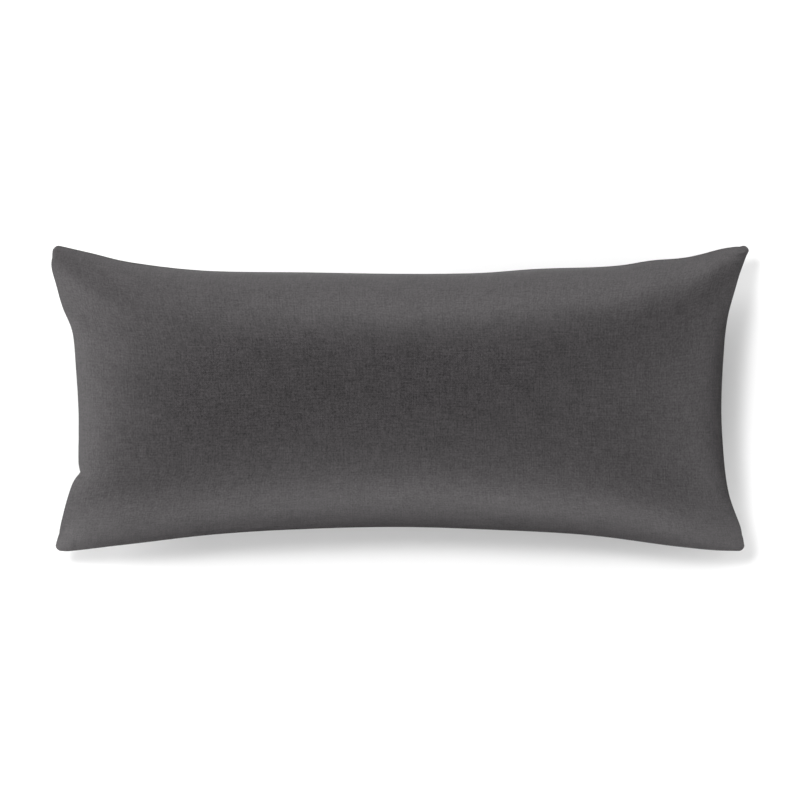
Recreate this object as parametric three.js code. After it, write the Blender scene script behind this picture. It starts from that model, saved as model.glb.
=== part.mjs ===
// A long lumbar pillow with knife edges, filled, lying on its back. Millimetres, +Z up.
// The origin is on the surface it lies on, under its middle. +X runs along its length, +Y across it, and the face
// that is seen in use looks up. Two equal panels meet at one seam all round; the filling draws the four sides in
// between the corners, which stay out as thin ears.
import * as THREE from "three";

// Driving dimensions
const LENGTH = 905; // from ear to ear, filled
const WIDTH = 397;
const SEAM_HEIGHT = 80; // of the seam at mid side, above the surface
const FACE_CROWN = 88; // rise of the upper panel above the seam
const BACK_CROWN = 85; // drop of the lower panel below the seam, were it not pressed flat
const PRESS_BLEND = 3; // height over which the lower panel eases into its flat spot
const SEAM_LIP = 3; // two plies and their turned-in allowances

// How the crown swells between the seams
const END_FULLNESS = 3; // exponent along the length: the middle stays level, the ends fall away
const SIDE_FULLNESS = 2.3; // exponent across the width
const EAR_THINNING = 0.35; // share of the crown that the ears lack
const SEAM_SHARPNESS = 0.1; // 0 for panels that meet upright at the seam; the higher, the flatter they meet

// How the seam leaves its level: the ears droop, and at mid side the panels bulge past it and hide it
const EAR_DROOP = 40; // how much lower the seam lies at the ears
const DROOP_EXPONENT = 4; // the higher, the closer to the ears the droop stays
const SEAM_TUCK = 2; // how far the seam sinks in at mid side
const TUCK_HEIGHT = 9; // height over which the panels bulge back out past it
const TUCK_FADE = { from: 0.35, to: 0.75 }; // of the way from mid side to the ear, where the tuck dies out

// The grid of one panel
const COLUMNS = 56;
const ROWS = 28;

// The ears: the outermost x and y of each, and the radius of its tip
const EARS = {
  farLeft: { x: -LENGTH / 2, y: WIDTH / 2, radius: 8 },
  farRight: { x: LENGTH / 2, y: WIDTH / 2, radius: 8 },
  nearLeft: { x: 5.5 - LENGTH / 2, y: -WIDTH / 2, radius: 8 },
  nearRight: { x: LENGTH / 2 - 5, y: -WIDTH / 2, radius: 8 },
};

// The four sides. outward is the angle of the side's outward normal. Each station says how far the edge is drawn in
// from the straight line between the outermost ear tips, at a place along the side counted from its middle.
const SIDES = {
  far: {
    outward: Math.PI / 2,
    from: EARS.farLeft,
    to: EARS.farRight,
    stations: [
      { along: -400, drawnIn: 11 },
      { along: -345, drawnIn: 24 },
      { along: -260, drawnIn: 33 },
      { along: -130, drawnIn: 34.5 },
      { along: 0, drawnIn: 36.5 },
      { along: 100, drawnIn: 35.5 },
      { along: 180, drawnIn: 30 },
      { along: 275, drawnIn: 28 },
      { along: 325, drawnIn: 21.5 },
      { along: 365, drawnIn: 18 },
      { along: 390, drawnIn: 13 },
      { along: 420, drawnIn: 5 },
    ],
  },
  near: {
    outward: -Math.PI / 2,
    from: EARS.nearLeft,
    to: EARS.nearRight,
    stations: [
      { along: -425, drawnIn: 0.5 },
      { along: -355, drawnIn: 9.5 },
      { along: -260, drawnIn: 20 },
      { along: -130, drawnIn: 27.5 },
      { along: 0, drawnIn: 30.5 },
      { along: 130, drawnIn: 26.5 },
      { along: 260, drawnIn: 19.5 },
      { along: 360, drawnIn: 7 },
      { along: 410, drawnIn: 1.5 },
    ],
  },
  left: {
    outward: Math.PI,
    from: EARS.nearLeft,
    to: EARS.farLeft,
    stations: [
      { along: -175, drawnIn: 11 },
      { along: -145, drawnIn: 20 },
      { along: -125, drawnIn: 25.5 },
      { along: -95, drawnIn: 36 },
      { along: -80, drawnIn: 37 },
      { along: -20, drawnIn: 37.5 },
      { along: 40, drawnIn: 34 },
      { along: 85, drawnIn: 29.5 },
      { along: 115, drawnIn: 18.5 },
      { along: 145, drawnIn: 10 },
      { along: 170, drawnIn: 2 },
    ],
  },
  right: {
    outward: 0,
    from: EARS.nearRight,
    to: EARS.farRight,
    stations: [
      { along: -170, drawnIn: 10 },
      { along: -125, drawnIn: 27 },
      { along: -60, drawnIn: 34 },
      { along: -10, drawnIn: 36 },
      { along: 50, drawnIn: 33.5 },
      { along: 105, drawnIn: 28 },
      { along: 150, drawnIn: 16.5 },
      { along: 180, drawnIn: 4.5 },
    ],
  },
};

// The outline of one side in plan, from the middle of one ear's tip to the middle of the next: arc, spline, arc.
function sideOutline({ outward, from, to, stations }) {
  const direction = new THREE.Vector2(Math.cos(outward), Math.sin(outward)).round();
  const runsAlongX = direction.x === 0;
  const tipCentre = (ear) =>
    new THREE.Vector2(ear.x - Math.sign(ear.x) * ear.radius, ear.y - Math.sign(ear.y) * ear.radius);
  const edge = stations.map(({ along, drawnIn }) =>
    runsAlongX
      ? new THREE.Vector2(along, direction.y * (WIDTH / 2 - drawnIn))
      : new THREE.Vector2(direction.x * (LENGTH / 2 - drawnIn), along),
  );
  const clockwise = direction.x < 0 || direction.y > 0;
  const halfTip = ((clockwise ? -1 : 1) * Math.PI) / 4;
  const [first, last] = [tipCentre(from), tipCentre(to)];
  const path = new THREE.Path();
  path.absarc(first.x, first.y, from.radius, outward - halfTip, outward, clockwise);
  path.splineThru([...edge, direction.clone().multiplyScalar(to.radius).add(last)]);
  path.absarc(last.x, last.y, to.radius, outward, outward + halfTip, clockwise);
  return path;
}

// Grid places from -1 to 1, closer together towards the seam.
function places(count) {
  return Array.from({ length: count + 1 }, (_, i) => Math.sin(Math.PI * (i / count - 0.5)));
}

// How far the filling has swelled, from 1 at the middle to 0 on the seam, where falloff is 1.
function swell(falloff) {
  const atSeam = Math.sqrt(SEAM_SHARPNESS);
  return (Math.sqrt(1 + SEAM_SHARPNESS - falloff) - atSeam) / (Math.sqrt(1 + SEAM_SHARPNESS) - atSeam);
}

// Fullness of the filling at a grid place: 0 on the seam, 1 in the middle.
function fullness(u, v) {
  const lengthwise = swell(Math.abs(u) ** END_FULLNESS);
  const crosswise = swell(Math.abs(v) ** SIDE_FULLNESS);
  return lengthwise * crosswise * (1 - EAR_THINNING * (1 - lengthwise) * (1 - crosswise));
}

// A drop of the lower panel, eased by a parabola into the flat spot that it lies on.
function pressedFlat(drop, most) {
  const excess = drop - (most - PRESS_BLEND);
  if (excess <= 0) return drop;
  return excess >= 2 * PRESS_BLEND ? most : drop - excess ** 2 / (4 * PRESS_BLEND);
}

// The filled pillow: two panels over one outline, joined by the lip of the seam.
function filledPillow() {
  const us = places(COLUMNS);
  const vs = places(ROWS);
  const share = (place) => (place + 1) / 2;
  const edges = Object.fromEntries(
    Object.entries(SIDES).map(([name, side]) => {
      const outline = sideOutline(side);
      const grid = name === "far" || name === "near" ? us : vs;
      return [name, grid.map((place) => outline.getPoint(share(place)))];
    }),
  );

  // A point in plan, between the four sides.
  function plan(i, j) {
    const [s, t] = [share(us[i]), share(vs[j])];
    const corner = (a, b) => edges[b ? "far" : "near"][a ? COLUMNS : 0];
    const point = new THREE.Vector2()
      .addScaledVector(edges.near[i], 1 - t)
      .addScaledVector(edges.far[i], t)
      .addScaledVector(edges.left[j], 1 - s)
      .addScaledVector(edges.right[j], s);
    for (const [a, b] of [[0, 0], [0, 1], [1, 0], [1, 1]]) {
      point.addScaledVector(corner(a, b), -(a ? s : 1 - s) * (b ? t : 1 - t));
    }
    return point;
  }

  // How far a point near the seam sinks in: fully on the seam at mid side, not at all at the ears or on the panels.
  function tuck(u, v, rise) {
    const alongSide = Math.min(Math.abs(u), Math.abs(v));
    const midSide = 1 - THREE.MathUtils.smoothstep(alongSide, TUCK_FADE.from, TUCK_FADE.to);
    const pull = SEAM_TUCK * midSide * Math.exp(-((rise / TUCK_HEIGHT) ** 2));
    return Math.abs(u) > Math.abs(v)
      ? new THREE.Vector2(-Math.sign(u) * pull, 0)
      : new THREE.Vector2(0, -Math.sign(v) * pull);
  }

  const positions = [];
  for (const panel of ["back", "face"]) {
    us.forEach((u, i) =>
      vs.forEach((v, j) => {
        const seam = SEAM_HEIGHT - EAR_DROOP * (u * v) ** DROOP_EXPONENT;
        const full = fullness(u, v);
        const rise = panel === "face" ? FACE_CROWN * full : pressedFlat(BACK_CROWN * full, seam - SEAM_LIP / 2);
        const point = plan(i, j).add(tuck(u, v, rise));
        const side = panel === "face" ? 1 : -1;
        positions.push(point.x, point.y, seam + side * (SEAM_LIP / 2 + rise));
      }),
    );
  }
  const back = (i, j) => i * (ROWS + 1) + j;
  const face = (i, j) => (COLUMNS + 1) * (ROWS + 1) + back(i, j);

  const triangles = [];
  // A quad a b c d, cut along a-c, or along b-d where that runs into a corner of the grid.
  function quad(a, b, c, d, alongBD = false) {
    triangles.push(...(alongBD ? [a, b, d, b, c, d] : [a, b, c, a, c, d]));
  }
  for (let i = 0; i < COLUMNS; i++) {
    for (let j = 0; j < ROWS; j++) {
      const intoCorner = i < COLUMNS / 2 !== j < ROWS / 2;
      quad(face(i, j), face(i + 1, j), face(i + 1, j + 1), face(i, j + 1), intoCorner);
      quad(back(i, j), back(i, j + 1), back(i + 1, j + 1), back(i + 1, j), intoCorner);
    }
  }
  for (let i = 0; i < COLUMNS; i++) {
    quad(back(i, 0), back(i + 1, 0), face(i + 1, 0), face(i, 0));
    quad(back(i + 1, ROWS), back(i, ROWS), face(i, ROWS), face(i + 1, ROWS));
  }
  for (let j = 0; j < ROWS; j++) {
    quad(back(0, j + 1), back(0, j), face(0, j), face(0, j + 1));
    quad(back(COLUMNS, j), back(COLUMNS, j + 1), face(COLUMNS, j + 1), face(COLUMNS, j));
  }

  const geometry = new THREE.BufferGeometry();
  geometry.setAttribute("position", new THREE.Float32BufferAttribute(positions, 3));
  geometry.setIndex(triangles);
  geometry.computeVertexNormals();
  return geometry;
}

const cloth = new THREE.MeshStandardMaterial({ color: 0x4b494a, roughness: 0.92, metalness: 0 });
const pillow = new THREE.Mesh(filledPillow(), cloth);
pillow.name = "pillow";

const group = new THREE.Group();
group.add(pillow);
export default group;
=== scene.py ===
"""A long lumbar pillow lying on its back, seen from straight above.

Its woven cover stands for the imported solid. Metres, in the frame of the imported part: +X along the pillow,
+Y across it, +Z up. The cover is one closed surface: two equal panels over one outline, sewn together all
round. Their shape starts from a crown over the outline, settles as cloth under the pressure of the filling,
and is then gathered in small puckers along the seam.
"""

import math

import bpy
import numpy as np
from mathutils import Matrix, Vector


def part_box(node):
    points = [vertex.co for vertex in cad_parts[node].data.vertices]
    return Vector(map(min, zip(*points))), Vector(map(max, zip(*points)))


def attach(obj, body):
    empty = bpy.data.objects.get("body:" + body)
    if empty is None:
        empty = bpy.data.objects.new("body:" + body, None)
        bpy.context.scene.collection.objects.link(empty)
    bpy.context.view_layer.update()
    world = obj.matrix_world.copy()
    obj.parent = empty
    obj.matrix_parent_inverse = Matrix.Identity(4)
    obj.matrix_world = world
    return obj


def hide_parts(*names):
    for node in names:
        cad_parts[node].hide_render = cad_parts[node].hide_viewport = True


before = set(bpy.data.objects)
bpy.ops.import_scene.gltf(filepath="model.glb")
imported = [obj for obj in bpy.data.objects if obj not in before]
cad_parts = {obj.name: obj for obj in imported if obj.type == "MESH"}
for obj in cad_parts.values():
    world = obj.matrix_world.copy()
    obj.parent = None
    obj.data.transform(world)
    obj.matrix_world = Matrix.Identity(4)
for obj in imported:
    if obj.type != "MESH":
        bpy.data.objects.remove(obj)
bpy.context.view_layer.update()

MM = 0.001
LOW, HIGH = (np.array(corner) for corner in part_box("pillow"))
LENGTH, WIDTH, HEIGHT = 905 * MM, 397 * MM, HIGH[2] - LOW[2]

# The cover as it was cut, and the level of its seam
PANEL = (914 * MM, 406 * MM)  # one panel, between its seams
SEAM_HEIGHT = 80 * MM  # of the seam at mid side, above the floor
SEAM_LIP = 1.6 * MM  # thickness of the seam's edge where it stands free, at the ears
FACE_CROWN = HEIGHT - SEAM_HEIGHT - SEAM_LIP / 2
BACK_CROWN = 85 * MM  # drop of the lower panel, were it not pressed flat
PRESS_BLEND = 3 * MM  # height over which the lower panel eases into its flat spot

# How the crown swells between the seams
END_FULLNESS = 3.0  # exponent along the length: the middle stays level, the ends fall away
SIDE_FULLNESS = 2.3  # exponent across the width
EAR_THINNING = 0.35  # share of the crown that the ears lack
SEAM_SHARPNESS = 0.1  # 0 for panels that meet upright at the seam; the higher, the flatter they meet

# How the seam leaves its level: the ears droop, and at mid side the panels bulge past it and hide it
EAR_DROOP = 40 * MM  # how much lower the seam lies at the ears
DROOP_EXPONENT = 4  # the higher, the closer to the ears the droop stays
SEAM_TUCK = 2 * MM  # how far the seam sinks in at mid side
TUCK_HEIGHT = 9 * MM  # height over which the panels bulge back out past it
TUCK_FADE = (0.35, 0.75)  # of the way from mid side to the ear, where the tuck dies out
GROOVE = 0.5 * MM  # how far the seam line sinks in between the two panels at mid side

# The grid that settles as cloth, which is halved once afterwards, and the rings of the seam's edge
COLUMNS = 150
ROWS = 70
SEAM_DENSITY = 2.0  # how much closer together the grid lies at the seam than in the middle
DENSITY_EXPONENT = 8  # the higher, the nearer the seam the close part of the grid stays
LIP_RINGS = 3

# The ears: (outermost x, outermost y, radius of the tip), in mm
EARS = {
    "far_left": (-451, 198, 7),
    "far_right": (454.5, 198, 6),
    "near_left": (-447, -198.5, 6),
    "near_right": (448.5, -198.5, 6),
}

# The four sides: the ears that they join, and stations of (place along the side, how far it is drawn in from
# the outermost ear tips), in mm
SIDES = {
    "far": ("far_left", "far_right", (
        (-400, 11), (-345, 24), (-260, 33), (-130, 34.5), (0, 36.5), (100, 35.5), (180, 30), (275, 28),
        (325, 21.5), (365, 18), (390, 13), (420, 5),
    )),
    "near": ("near_left", "near_right", (
        (-425, 0.5), (-355, 9.5), (-260, 20), (-130, 27.5), (0, 30.5), (130, 26.5), (260, 19.5),
        (360, 7), (410, 1.5),
    )),
    "left": ("near_left", "far_left", (
        (-175, 11), (-145, 20), (-125, 25.5), (-110, 30), (-95, 36), (-80, 37), (-20, 37.5), (40, 34),
        (85, 29.5), (115, 18.5), (145, 10), (170, 2),
    )),
    "right": ("near_right", "far_right", (
        (-170, 10), (-125, 27), (-60, 34), (-10, 36), (50, 33.5), (105, 28), (150, 16.5), (180, 4.5),
    )),
}
OUTWARD = {"far": (0, 1), "near": (0, -1), "left": (-1, 0), "right": (1, 0)}
SIDE_STEPS = 400  # even steps along the curve of one side
SPLINE_STEPS = 40  # steps between two stations
TIP_POINTS = 9  # of half an ear's rounded tip
SIDE_SMOOTHING = 60  # rounds of averaging that leave the part of the curve that reaches across the panel
LOCAL_REACH = 45 * MM  # how far the rest of the curve reaches into the panel

# Where the seam is caught or dented: (side, place along it, how far in, reach before it and after it along
# the side, reach into the panel), in mm
CATCHES = (
    ("left", -96, 4.5, 5, 6, 16),
    ("left", -176, 1.2, 4, 6, 9),
    ("left", 182, 0.8, 3, 3, 7),
    ("right", -178, 1.0, 3, 5, 9),
    ("far", 443, 0.8, 2.5, 2.5, 6),
)

# The cloth while it settles
SETTLING_FRAMES = 20
FILLING_PRESSURE = 4
MOST_SETTLING = 8 * MM  # the farthest that any point moves

# The puckers along the seam: (wavelength, height), in mm
PUCKERS = ((31, 0.16), (19, 0.14), (12.5, 0.1), (8, 0.05))
PUCKER_PLACE = 6 * MM  # how far from the seam they stand highest

# The cloth: a fine plain weave whose yarns vary in thickness and shade
CLOTH_COLOUR = (0.025, 0.023, 0.024)
YARN_PITCH = 0.65 * MM
YARN_HEIGHT = 0.025 * MM
WEAVE_PAINTED_SHADE = 0.25  # painted shade: how much darker the gaps between the yarns are painted than their tops, for the shade in the weave's hollows
# Noise: (size along the length, size across it, detail, amount), in mm and as a share of the colour
UNEVENNESS = (
    (1.6, 24, 0, 0.55),
    (24, 1.6, 0, 0.55),
    (1.9, 3.2, 0, 0.75),
    (3.2, 1.9, 0, 0.75),
    (9, 9, 1, 0.48),
    (40, 40, 2, 0.4),
)


def smoothstep(x, low, high):
    t = np.clip((x - low) / (high - low), 0, 1)
    return t * t * (3 - 2 * t)


def spline(points, steps):
    """A Catmull-Rom curve through the points, with the same number of steps between each two."""
    padded = np.vstack([2 * points[0] - points[1], points, 2 * points[-1] - points[-2]])
    t = np.linspace(0, 1, steps, endpoint=False)[:, None]
    parts = []
    for a, b, c, d in zip(padded, padded[1:], padded[2:], padded[3:]):
        bend = t**2 * (2 * a - 5 * b + 4 * c - d) + t**3 * (3 * b - a - 3 * c + d)
        parts.append(b + t * (c - a) / 2 + bend / 2)
    return np.vstack([*parts, points[-1:]])


def side_outline(name):
    """The plan of one side from mid ear to mid ear, arc, spline and arc, at evenly spaced points."""
    start, end, stations = SIDES[name]
    outward = np.array(OUTWARD[name], float)
    along = np.abs(outward[::-1])
    half = float(np.abs(outward) @ (LENGTH, WIDTH)) / 2
    edge = [along * place * MM + outward * (half - drawn_in * MM) for place, drawn_in in stations]

    def tip(ear, angles):
        x, y, radius = (value * MM for value in EARS[ear])
        centre = np.array((x - math.copysign(radius, x), y - math.copysign(radius, y)))
        return centre + radius * np.column_stack((np.cos(angles), np.sin(angles)))

    facing = math.atan2(outward[1], outward[0])
    eighth = math.pi / 4 if name in ("near", "right") else -math.pi / 4
    first = tip(start, facing + np.linspace(-eighth, 0, TIP_POINTS))
    last = tip(end, facing + np.linspace(0, eighth, TIP_POINTS))
    between_tips = spline(np.vstack([first[-1:], edge, last[:1]]), SPLINE_STEPS)
    points = np.vstack([first[:-1], between_tips, last[1:]])
    run = running_length(points)
    even = np.linspace(0, run[-1], SIDE_STEPS + 1)
    return np.column_stack([np.interp(even, run, points[:, axis]) for axis in (0, 1)])


def running_length(points):
    steps = np.linalg.norm(np.diff(points, axis=0), axis=1)
    return np.concatenate([[0], np.cumsum(steps)])


def smoothed(points):
    points = points.copy()
    for _ in range(SIDE_SMOOTHING):
        points[1:-1] = (points[:-2] + 2 * points[1:-1] + points[2:]) / 4
    return points


def sampled(points, places):
    """Points at places from -1 to 1 along an evenly spaced curve."""
    share = np.linspace(-1, 1, len(points))
    return np.column_stack([np.interp(places, share, points[:, axis]) for axis in (0, 1)])


def grid_places(count):
    """Grid places from -1 to 1, closer together towards the seam."""
    fine = np.linspace(-1, 1, 4001)
    density = 1 + SEAM_DENSITY * fine**DENSITY_EXPONENT
    run = np.concatenate([[0], np.cumsum((density[1:] + density[:-1]) / 2)])
    return np.interp(np.linspace(0, run[-1], count + 1), run, fine)


def plan_grid(us, vs):
    """The grid in plan, stretched between the four sides. What is local in a side's curve stays near it."""
    s, t = ((places[..., None] + 1) / 2 for places in np.meshgrid(us, vs, indexing="ij"))
    edges, local = {}, {}
    for name in SIDES:
        curve = side_outline(name)
        smooth = smoothed(curve)
        places = us if name in ("far", "near") else vs
        edges[name] = sampled(smooth, places)
        local[name] = sampled(curve - smooth, places)
    far, near, left, right = (edges[name] for name in ("far", "near", "left", "right"))
    between = (1 - t) * near[:, None] + t * far[:, None] + (1 - s) * left[None] + s * right[None]
    corners = (1 - s) * ((1 - t) * near[0] + t * far[0]) + s * ((1 - t) * near[-1] + t * far[-1])

    def fade(share, size):
        return np.exp(-((share * size / LOCAL_REACH) ** 2))

    across = fade(t, WIDTH) * local["near"][:, None] + fade(1 - t, WIDTH) * local["far"][:, None]
    along = fade(s, LENGTH) * local["left"][None] + fade(1 - s, LENGTH) * local["right"][None]
    return between - corners + across + along


def mid_side(us, vs):
    """1 on the seam and panel towards the middle of a side, 0 towards the ears."""
    return 1 - smoothstep(np.minimum(np.abs(us), np.abs(vs)), *TUCK_FADE)


def pressed(heights):
    """Heights above the floor, with what would be below it eased into the flat spot."""
    excess = np.clip(PRESS_BLEND - heights, 0, 2 * PRESS_BLEND)
    return np.maximum(heights + excess**2 / (4 * PRESS_BLEND), 0)


def swell(falloff):
    """How far the filling has swelled, from 1 in the middle to 0 on the seam, where falloff is 1."""
    at_seam = math.sqrt(SEAM_SHARPNESS)
    return (np.sqrt(1 + SEAM_SHARPNESS - falloff) - at_seam) / (math.sqrt(1 + SEAM_SHARPNESS) - at_seam)


def crowned_panel(us, vs, side):
    """The grid of one panel as it starts: side is 1 for the face and -1 for the back."""
    u, v = np.meshgrid(us, vs, indexing="ij")
    lengthwise = swell(np.abs(u) ** END_FULLNESS)
    crosswise = swell(np.abs(v) ** SIDE_FULLNESS)
    full = lengthwise * crosswise * (1 - EAR_THINNING * (1 - lengthwise) * (1 - crosswise))
    seam = SEAM_HEIGHT - EAR_DROOP * (u * v) ** DROOP_EXPONENT
    rise = (FACE_CROWN if side > 0 else BACK_CROWN) * full
    heights = seam + side * (SEAM_LIP / 2 + rise)
    if side < 0:
        heights = pressed(heights)
    pull = SEAM_TUCK * mid_side(u, v) * np.exp(-((rise / TUCK_HEIGHT) ** 2))
    on_end = np.abs(u) > np.abs(v)
    plan = plan_grid(us, vs)
    plan[..., 0] -= np.where(on_end, np.sign(u) * pull, 0)
    plan[..., 1] -= np.where(on_end, 0, np.sign(v) * pull)
    return np.dstack([plan, heights])


def flat_cloth(panel):
    """Where the grid of a panel lies on the flat cloth, in metres from its middle."""
    columns, rows = panel.shape[0] - 1, panel.shape[1] - 1
    across, along = running_length(panel[:, rows // 2]), running_length(panel[columns // 2])
    x, y = (size * (run / run[-1] - 0.5) for size, run in zip(PANEL, (across, along)))
    return np.stack(np.meshgrid(x, y, indexing="ij"), axis=-1)


def seam_ring(columns, rows):
    """The grid places of the seam, once round, as (column, row)."""
    near = [(i, 0) for i in range(columns)]
    right = [(columns, j) for j in range(rows)]
    far = [(i, rows) for i in range(columns, 0, -1)]
    left = [(0, j) for j in range(rows, 0, -1)]
    return np.array(near + right + far + left).T


def cover_object(name, face, back, us, vs, rings):
    """One closed mesh of both panels and the rings of the seam's edge, with a UV map on the flat cloth."""
    columns, rows = len(us) - 1, len(vs) - 1
    count = face[..., 0].size
    index = np.arange(count).reshape(columns + 1, rows + 1)
    a, b, c, d = index[:-1, :-1], index[1:, :-1], index[1:, 1:], index[:-1, 1:]
    quads = [
        np.stack([a, b, c, d], axis=-1).reshape(-1, 4),
        np.stack([a, d, c, b], axis=-1).reshape(-1, 4) + count,
    ]

    i, j = seam_ring(columns, rows)
    top, bottom = face[i, j], back[i, j]
    tangent = np.roll(top, -1, axis=0) - np.roll(top, 1, axis=0)
    outward = np.column_stack([tangent[:, 1], -tangent[:, 0], np.zeros(len(i))])
    outward /= np.linalg.norm(outward, axis=1, keepdims=True)
    at_mid_side = mid_side(us[i], vs[j])
    reach = SEAM_LIP / 2 * (1 - at_mid_side) - GROOVE * at_mid_side
    vertices = [face.reshape(-1, 3), back.reshape(-1, 3)]
    loops = [index[i, j] + count]
    for ring in range(rings):
        angle = math.pi * (ring + 1) / (rings + 1)
        share = (1 - math.cos(angle)) / 2
        vertices.append(bottom * (1 - share) + top * share + outward * (reach * math.sin(angle))[:, None])
        loops.append(np.arange(len(i)) + 2 * count + ring * len(i))
    loops.append(index[i, j])
    for lower, upper in zip(loops, loops[1:]):
        quads.append(np.stack([lower, np.roll(lower, -1), np.roll(upper, -1), upper], axis=-1))

    mesh = bpy.data.meshes.new(name)
    mesh.from_pydata(np.vstack(vertices).tolist(), [], np.vstack(quads).tolist())
    mesh.update()
    mesh.polygons.foreach_set("use_smooth", [True] * len(mesh.polygons))
    flat = flat_cloth(face)
    uv = np.vstack([flat.reshape(-1, 2), flat.reshape(-1, 2), *[flat[i, j]] * rings])
    corners = np.empty(len(mesh.loops), int)
    mesh.loops.foreach_get("vertex_index", corners)
    mesh.uv_layers.new(name="cloth").data.foreach_set("uv", uv[corners].astype(np.float32).ravel())
    cover = bpy.data.objects.new(name, mesh)
    bpy.context.scene.collection.objects.link(cover)
    return cover


def settled(face, back, us, vs):
    """Both panels after the filling has pressed them out, with the seam held in place."""
    scene = bpy.context.scene
    cover = cover_object("settling", face, back, us, vs, rings=1)
    count = face[..., 0].size
    start = np.array([vertex.co for vertex in cover.data.vertices])

    cover.shape_key_add(name="crowned")
    cut = cover.shape_key_add(name="cut", from_mix=False)
    cut.value = 0
    flat = flat_cloth(face)
    i, j = seam_ring(len(us) - 1, len(vs) - 1)
    level = np.full((count, 1), SEAM_HEIGHT)
    lying = np.hstack([flat.reshape(-1, 2), level])
    edge = np.hstack([flat[i, j], level[: len(i)]])
    thickness = np.array((0, 0, SEAM_LIP / 2))
    cut.data.foreach_set("co", np.vstack([lying + thickness, lying - thickness, edge]).ravel())

    held = cover.vertex_groups.new(name="held")
    on_seam = i * len(vs) + j
    numbers = np.concatenate([on_seam, on_seam + count, np.arange(len(i)) + 2 * count])
    held.add(numbers.tolist(), 1, "REPLACE")

    cloth = cover.modifiers.new("cloth", "CLOTH").settings
    cloth.quality = 6
    cloth.mass = 0.3
    cloth.tension_stiffness = cloth.compression_stiffness = 15
    cloth.shear_stiffness = 5
    cloth.bending_stiffness = 5
    cloth.use_pressure = True
    cloth.uniform_pressure_force = FILLING_PRESSURE
    cloth.effector_weights.gravity = 0
    cloth.vertex_group_mass = held.name
    cloth.rest_shape_key = cut
    for number in range(1, SETTLING_FRAMES + 1):
        scene.frame_set(number)
    shape = cover.evaluated_get(bpy.context.evaluated_depsgraph_get()).to_mesh()
    move = np.array([vertex.co for vertex in shape.vertices]) - start
    bpy.data.objects.remove(cover)
    scene.frame_set(1)

    distance = np.linalg.norm(move, axis=1, keepdims=True)
    move *= np.minimum(1, MOST_SETTLING / np.maximum(distance, MOST_SETTLING / 100))
    face = face + move[:count].reshape(face.shape)
    back = back + move[count : 2 * count].reshape(back.shape)
    back[..., 2] = pressed(back[..., 2])
    return face, back


def halved(grid):
    """The grid with one more line between each two, on a smooth curve through their neighbours."""
    for axis in (0, 1)[: grid.ndim]:
        lines = np.moveaxis(grid, axis, 0)
        padded = np.concatenate([2 * lines[:1] - lines[1:2], lines, 2 * lines[-1:] - lines[-2:-1]])
        between = (9 * (padded[1:-2] + padded[2:-1]) - padded[:-3] - padded[3:]) / 16
        finer = np.empty((2 * len(lines) - 1, *lines.shape[1:]))
        finer[::2], finer[1::2] = lines, between
        grid = np.moveaxis(finer, 0, axis)
    return grid


def catch_seam(panel):
    """Pulls the seam in where it is caught or dented."""
    for side, place, depth, before, after, reach in CATCHES:
        outward = np.array(OUTWARD[side], float)
        along = np.abs(outward[::-1])
        edge = {"far": panel[:, -1], "near": panel[:, 0], "left": panel[0], "right": panel[-1]}[side]
        lines = edge[:, None] if side in ("far", "near") else edge[None]
        offset = lines[..., :2] @ along - place * MM
        inward = (lines - panel)[..., :2] @ outward
        spread = np.where(offset < 0, before, after) * MM
        pull = depth * MM * np.exp(-np.abs(offset) / spread - (inward / (reach * MM)) ** 2)
        panel[..., :2] -= pull[..., None] * outward
    return panel


def puckered(panel, side):
    """The panel gathered along the seam, where its cloth is longer than the seam."""
    rows = np.linalg.norm(np.diff(panel, axis=0), axis=2)
    columns = np.linalg.norm(np.diff(panel, axis=1), axis=2)
    flat = flat_cloth(panel)
    random = np.random.default_rng(7)
    height = np.zeros(panel.shape[:2])
    for steps, axis, along in ((rows, 0, flat[..., 1]), (columns, 1, flat[..., 0])):
        zero = np.zeros_like(np.take(steps, [0], axis=axis))
        from_start = np.concatenate([zero, np.cumsum(steps, axis=axis)], axis=axis)
        from_end = np.take(from_start, [-1], axis=axis) - from_start
        for distance in (from_start, from_end):
            wave = np.zeros_like(height)
            for length, amount in PUCKERS:
                phase, drift, fading = random.uniform(0, 2 * math.pi, 3)
                turns = 2 * math.pi * along / (length * MM)
                slow = 0.6 + 0.4 * np.sin(turns / 7 + fading)
                wave += amount * MM * slow * np.sin(turns + phase + 0.8 * np.sin(turns / 4 + drift))
            place = distance / PUCKER_PLACE
            height += wave * place * np.exp(1 - place)
    across, along = np.gradient(panel, axis=0), np.gradient(panel, axis=1)
    normal = np.cross(across, along) * side
    normal /= np.maximum(np.linalg.norm(normal, axis=2, keepdims=True), 1e-12)
    clear = smoothstep(panel[..., 2], 0.5 * MM, 6 * MM)
    return panel + normal * (height * clear)[..., None]


def build_cover():
    us, vs = grid_places(COLUMNS), grid_places(ROWS)
    face, back = crowned_panel(us, vs, 1), crowned_panel(us, vs, -1)
    face, back = settled(face, back, us, vs)
    us, vs, face, back = (halved(grid) for grid in (us, vs, face, back))
    back[..., 2] = np.maximum(back[..., 2], 0)
    face, back = puckered(catch_seam(face), 1), puckered(catch_seam(back), -1)
    return cover_object("pillow_cover", face, back, us, vs, LIP_RINGS)


def new_material(name):
    material = bpy.data.materials.new(name)
    material.use_nodes = True
    return material, material.node_tree.nodes, material.node_tree.links


def math_node(tree, operation, *values):
    """A Math node on the values, each a number or a socket."""
    node = tree.nodes.new("ShaderNodeMath")
    node.operation = operation
    for socket, value in zip(node.inputs, values):
        if isinstance(value, (int, float)):
            socket.default_value = value
        else:
            tree.links.new(value, socket)
    return node.outputs["Value"]


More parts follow.
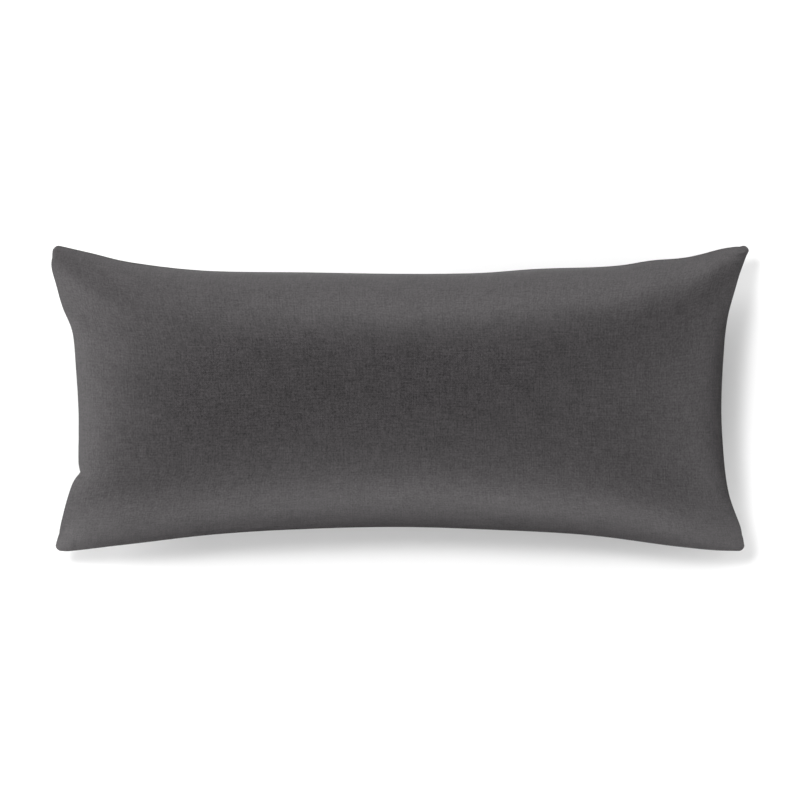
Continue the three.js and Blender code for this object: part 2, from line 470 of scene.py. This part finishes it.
def cloth_noise(tree, cloth, along_x, along_y, detail):
    """Noise around 0 whose features have the given size on the cloth, in mm."""
    mapping = tree.nodes.new("ShaderNodeMapping")
    mapping.inputs["Scale"].default_value = (1 / (along_x * MM), 1 / (along_y * MM), 1)
    noise = tree.nodes.new("ShaderNodeTexNoise")
    noise.noise_dimensions = "2D"
    noise.inputs["Scale"].default_value = 1
    noise.inputs["Detail"].default_value = detail
    tree.links.new(cloth, mapping.inputs["Vector"])
    tree.links.new(mapping.outputs["Vector"], noise.inputs["Vector"])
    return math_node(tree, "SUBTRACT", noise.outputs["Fac"], 0.5)


def plain_weave(tree, cloth):
    """The height of a plain weave, from 0 between the yarns to 1 on top of one."""
    place = tree.nodes.new("ShaderNodeSeparateXYZ")
    tree.links.new(cloth, place.inputs["Vector"])
    across, along = (
        math_node(tree, "SINE", math_node(tree, "MULTIPLY", place.outputs[axis], math.pi / YARN_PITCH))
        for axis in ("X", "Y")
    )
    warp_on_top = math_node(tree, "MULTIPLY_ADD", math_node(tree, "MULTIPLY", across, along), 0.5, 0.5)
    warp = math_node(tree, "MULTIPLY", math_node(tree, "ABSOLUTE", across), warp_on_top)
    weft_on_top = math_node(tree, "SUBTRACT", 1.0, warp_on_top)
    weft = math_node(tree, "MULTIPLY", math_node(tree, "ABSOLUTE", along), weft_on_top)
    return math_node(tree, "MAXIMUM", warp, weft)


def cloth_material():
    """Charcoal cloth of a fine plain weave, with slightly uneven yarns both ways and painted shade in the
    gaps between the yarns.
    """
    material, nodes, links = new_material("charcoal_cloth")
    tree = material.node_tree
    shader = nodes["Principled BSDF"]
    shader.inputs["Roughness"].default_value = 0.55
    shader.inputs["Specular IOR Level"].default_value = 0.5
    shader.inputs["Specular Tint"].default_value = (1, 0.97, 0.985, 1)
    cloth = nodes.new("ShaderNodeUVMap")
    cloth.uv_map = "cloth"

    weave = plain_weave(tree, cloth.outputs["UV"])
    uneven = 0.0
    for along_x, along_y, detail, amount in UNEVENNESS:
        noise = cloth_noise(tree, cloth.outputs["UV"], along_x, along_y, detail)
        uneven = math_node(tree, "MULTIPLY_ADD", noise, amount, uneven)
    # Painted shade: the gaps between the yarns are painted darker than their tops, and then the yarns' own
    # uneven tone is added
    painted_shade_and_tone = math_node(tree, "MULTIPLY_ADD", weave, WEAVE_PAINTED_SHADE, 1 - WEAVE_PAINTED_SHADE / 2)
    painted_shade_and_tone = math_node(tree, "ADD", painted_shade_and_tone, uneven)
    colour = nodes.new("ShaderNodeVectorMath")
    colour.operation = "SCALE"
    colour.inputs[0].default_value = CLOTH_COLOUR
    links.new(painted_shade_and_tone, colour.inputs["Scale"])
    links.new(colour.outputs["Vector"], shader.inputs["Base Color"])

    bump = nodes.new("ShaderNodeBump")
    bump.inputs["Strength"].default_value = 1
    bump.inputs["Distance"].default_value = YARN_HEIGHT
    links.new(math_node(tree, "ADD", weave, uneven), bump.inputs["Height"])
    links.new(bump.outputs["Normal"], shader.inputs["Normal"])
    return material


FLOOR_REACH = 8  # metres from the middle of the pillow


def build_floor():
    """A pale floor in two parts. Only the one beyond the far and left sides shows in the cloth's gloss."""
    material, nodes, _ = new_material("pale_floor")
    nodes["Principled BSDF"].inputs["Base Color"].default_value = (0.85, 0.85, 0.85, 1)
    nodes["Principled BSDF"].inputs["Roughness"].default_value = 0.9
    edge, left, far = FLOOR_REACH, -LENGTH / 2, WIDTH / 2
    far_left = ((-edge, -edge), (left, -edge), (left, far), (edge, far), (edge, edge), (-edge, edge))
    near_right = ((left, -edge), (edge, -edge), (edge, far), (left, far))
    parts = (("floor_far_left", True, far_left), ("floor_near_right", False, near_right))
    for name, in_gloss, outline in parts:
        mesh = bpy.data.meshes.new(name)
        mesh.from_pydata([(x, y, 0) for x, y in outline], [], [range(len(outline))])
        mesh.materials.append(material)
        floor = bpy.data.objects.new(name, mesh)
        floor.visible_glossy = in_gloss
        bpy.context.scene.collection.objects.link(floor)


# The softboxes stand round the pillow and face its middle: (name, azimuths counted from +X, elevation,
# distance, width, height, brightness, whether it shows in the cloth's gloss). Degrees and metres. The low
# ones light the rims and ears.
SOFTBOXES = (
    ("key", (134,), 63, 2.8, 0.8, 0.8, 27, False),
    ("high", (0, 270), 58, 2.5, 1.1, 0.8, 3, True),
    ("middle_near_right", (0, 270), 25, 2.5, 1.2, 0.8, 4.5, True),
    ("middle_far_left", (90, 150), 25, 2.5, 1.2, 0.8, 9, True),
    ("low", (60, 180, 270, 300, 330), 8, 2.5, 1.3, 0.8, 4.5, True),
    ("low_near_left", (220,), 8, 2.5, 1.3, 0.8, 9, True),
)


def build_lights():
    aim = Vector((0, 0, SEAM_HEIGHT))
    for name, azimuths, elevation, distance, width, height, brightness, in_gloss in SOFTBOXES:
        for azimuth in azimuths:
            light = bpy.data.lights.new(name, "AREA")
            light.shape = "RECTANGLE"
            light.size, light.size_y = width, height
            light.energy = brightness * math.pi * width * height
            softbox = bpy.data.objects.new(name, light)
            turn, lift = math.radians(azimuth), math.radians(elevation)
            away = Vector((math.cos(turn) * math.cos(lift), math.sin(turn) * math.cos(lift), math.sin(lift)))
            softbox.location = aim + distance * away
            softbox.rotation_euler = away.to_track_quat("Z", "Y").to_euler()
            softbox.visible_glossy = in_gloss
            softbox.visible_camera = False
            bpy.context.scene.collection.objects.link(softbox)
    world = bpy.data.worlds.new("studio")
    world.use_nodes = True
    world.node_tree.nodes["Background"].inputs["Strength"].default_value = 0
    bpy.context.scene.world = world


def build_camera():
    """Straight above, and far enough away that the sides hardly show."""
    distance, view_width = 3.2, 1.043  # from the ears, and across the picture there
    over_middle = (0.8 * MM, -2.5 * MM)
    data = bpy.data.cameras.new("camera")
    data.sensor_width = 36
    data.lens = data.sensor_width * distance / view_width
    camera = bpy.data.objects.new("camera", data)
    camera.location = (*over_middle, SEAM_HEIGHT - EAR_DROOP + distance)
    bpy.context.scene.collection.objects.link(camera)
    bpy.context.scene.camera = camera


build_camera()
build_floor()
build_lights()
cover = build_cover()
cover.data.materials.append(cloth_material())
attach(cover, "root")
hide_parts("pillow")
bpy.context.scene.view_settings.view_transform = "Standard"
